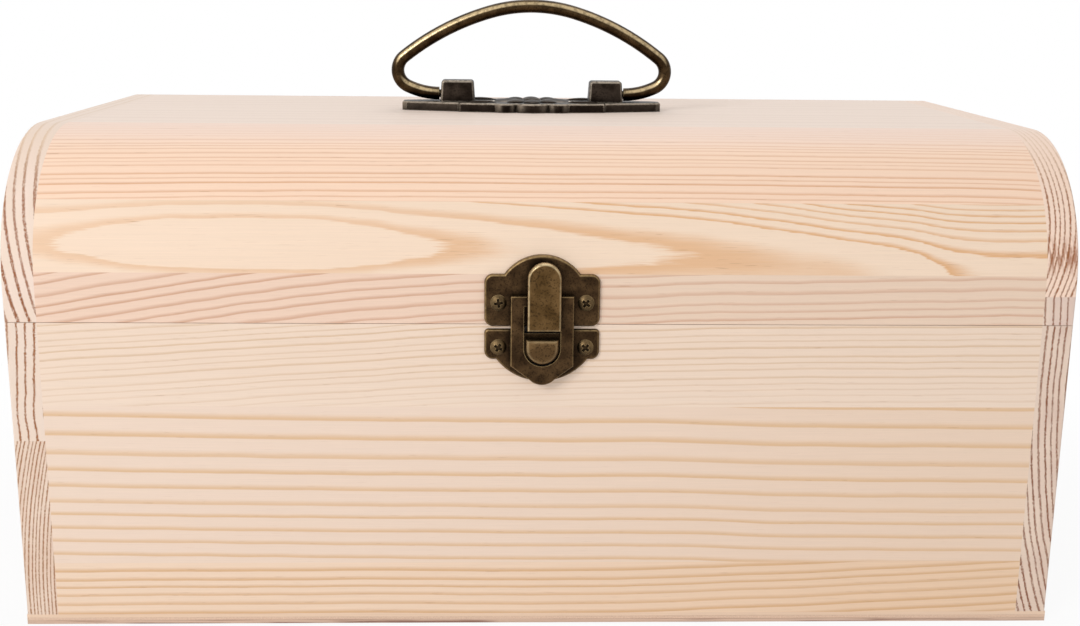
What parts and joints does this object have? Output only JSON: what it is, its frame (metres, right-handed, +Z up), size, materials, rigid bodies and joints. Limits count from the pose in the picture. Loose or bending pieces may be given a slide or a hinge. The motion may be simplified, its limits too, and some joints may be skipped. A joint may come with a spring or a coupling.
{
  "type": "wooden money box",
  "caption": "Pine chest with a rounded lid on back hinges, a bronze hasp latch with thumb button in front and a folding bail handle on top, for keeping money and small things.",
  "frame": {"origin": "middle of the underside of the base", "axes": "+X along the box to the right as seen from the latch, +Y from the latch to the hinges, +Z up"},
  "size_m": [0.3, 0.2025, 0.1786],
  "materials": {
    "pine": "sanded, unvarnished",
    "plywood": "sanded, unvarnished",
    "antique_bronze": "darkened, rubbed on the edges",
    "bronze_screw": "darkened",
    "spring_steel": "bright"
  },
  "bodies": {
    "box": {"base_panel": "plywood", "front_lower_board": "pine", "front_middle_board": "pine", "front_upper_board": "pine", "back_lower_board": "pine", "back_middle_board": "pine", "back_upper_board": "pine", "left_end_lower_board": "pine", "left_end_upper_board": "pine", "right_end_board": "pine", "body_latch_plate": "antique_bronze", "button_spring": "spring_steel", "body_latch_screws": "bronze_screw", "hinge_left_box_leaf": "antique_bronze", "hinge_right_box_leaf": "antique_bronze", "hinge_left_pin": "antique_bronze", "hinge_right_pin": "antique_bronze", "hinge_box_screws": "bronze_screw"},
    "lid": {"lid_front_rail": "pine", "lid_front_stave": "pine", "lid_front_shoulder": "pine", "lid_back_rail": "pine", "lid_back_stave": "pine", "lid_back_shoulder": "pine", "lid_top_board": "pine", "lid_left_end": "pine", "lid_right_end_lower": "pine", "lid_right_end_upper": "pine", "lid_latch_plate": "antique_bronze", "lid_latch_screws": "bronze_screw", "handle_plate": "antique_bronze", "handle_screws": "bronze_screw", "hinge_left_lid_leaf": "antique_bronze", "hinge_right_lid_leaf": "antique_bronze", "hinge_lid_screws": "bronze_screw"},
    "hasp": {"hasp_tongue": "antique_bronze", "hasp_pin": "antique_bronze"},
    "handle": {"handle_bail": "antique_bronze"},
    "button": {"thumb_button": "antique_bronze"}
  },
  "joints": [
    {"name": "lid_hinge", "type": "hinge", "parent": "box", "child": "lid", "pos_m": [0, 0.0983, 0.0905], "axis": [-1, 0, 0], "range_deg": [0, 110]},
    {"name": "hasp_swing", "type": "hinge", "parent": "lid", "child": "hasp", "pos_m": [-0.0004, -0.0998, 0.1069], "axis": [-1, 0, 0], "range_deg": [0, 95]},
    {"name": "handle_fold", "type": "hinge", "parent": "lid", "child": "handle", "pos_m": [-0.0021, 0, 0.14745], "axis": [1, 0, 0], "range_deg": [-90, 90]},
    {"name": "button_press", "type": "slide", "parent": "box", "child": "button", "axis": [0, 1, 0], "range_m": [0, 0.0012], "stiffness_N_per_m": 400, "deforming": ["button_spring"]}
  ]
}
